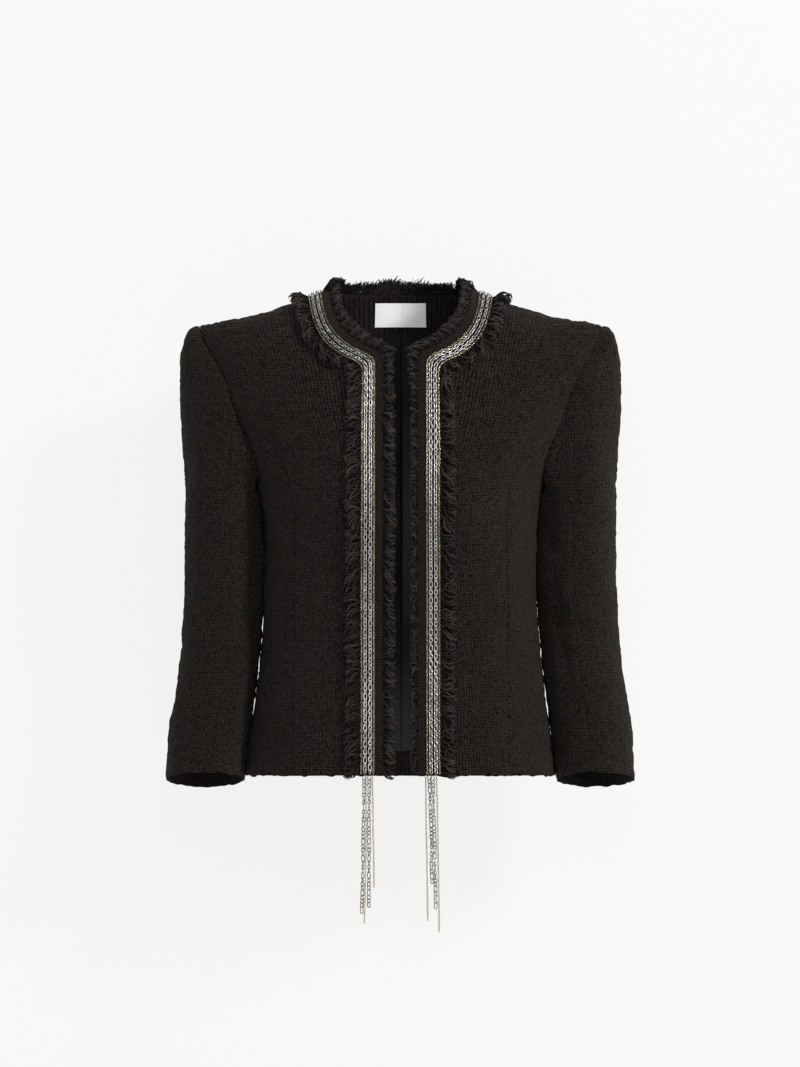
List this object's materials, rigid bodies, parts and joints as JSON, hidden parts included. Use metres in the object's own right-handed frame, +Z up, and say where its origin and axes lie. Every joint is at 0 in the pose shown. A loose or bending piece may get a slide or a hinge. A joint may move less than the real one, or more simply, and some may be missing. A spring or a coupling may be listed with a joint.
{
  "type": "cropped tweed jacket",
  "caption": "Hollow cropped collarless tweed jacket with long two-piece sleeves, an open front, and a frayed trim strip carrying sewn chains that end in loose strands below the hem.",
  "frame": {"origin": "in the middle of the neck opening, level with the tops of the shoulders, where the wearer holds the jacket up", "axes": "+Z up, the front of the jacket faces -Y, +X toward the wearer's left sleeve"},
  "size_m": [0.4898, 0.2397, 0.682],
  "materials": {
    "tweed": "very dark brown-black boucle tweed, matte and knobbly",
    "fringe": "frayed yarn ends of the same tweed",
    "lining": "smooth black lining with a soft sheen",
    "label": "bare white woven label",
    "chain_silver": "polished silver-coloured curb chain",
    "chain_gold": "pale gold-coloured fine cable chain"
  },
  "bodies": {
    "root": {"front_left": "tweed", "front_right": "tweed", "side_front_left": "tweed", "side_front_right": "tweed", "back_left": "tweed", "back_right": "tweed", "sleeve_upper_left": "tweed", "sleeve_upper_right": "tweed", "sleeve_under_left": "tweed", "sleeve_under_right": "tweed", "trim_tape": "tweed", "facing_neck": "tweed", "facing_hem": "tweed", "fringe_edge": "fringe", "fringe_outer": "fringe", "lining_back": "lining", "label": "label", "chain_silver_inner": "chain_silver", "chain_silver_outer": "chain_silver", "chain_gold_inner": "chain_gold", "chain_gold_outer": "chain_gold", "chain_end_silver_inner_left": "chain_silver", "chain_end_silver_inner_right": "chain_silver", "chain_end_silver_outer_left": "chain_silver", "chain_end_silver_outer_right": "chain_silver", "chain_end_gold_inner_left": "chain_gold", "chain_end_gold_inner_right": "chain_gold", "chain_end_gold_outer_left": "chain_gold", "chain_end_gold_outer_right": "chain_gold"}
  },
  "joints": []
}
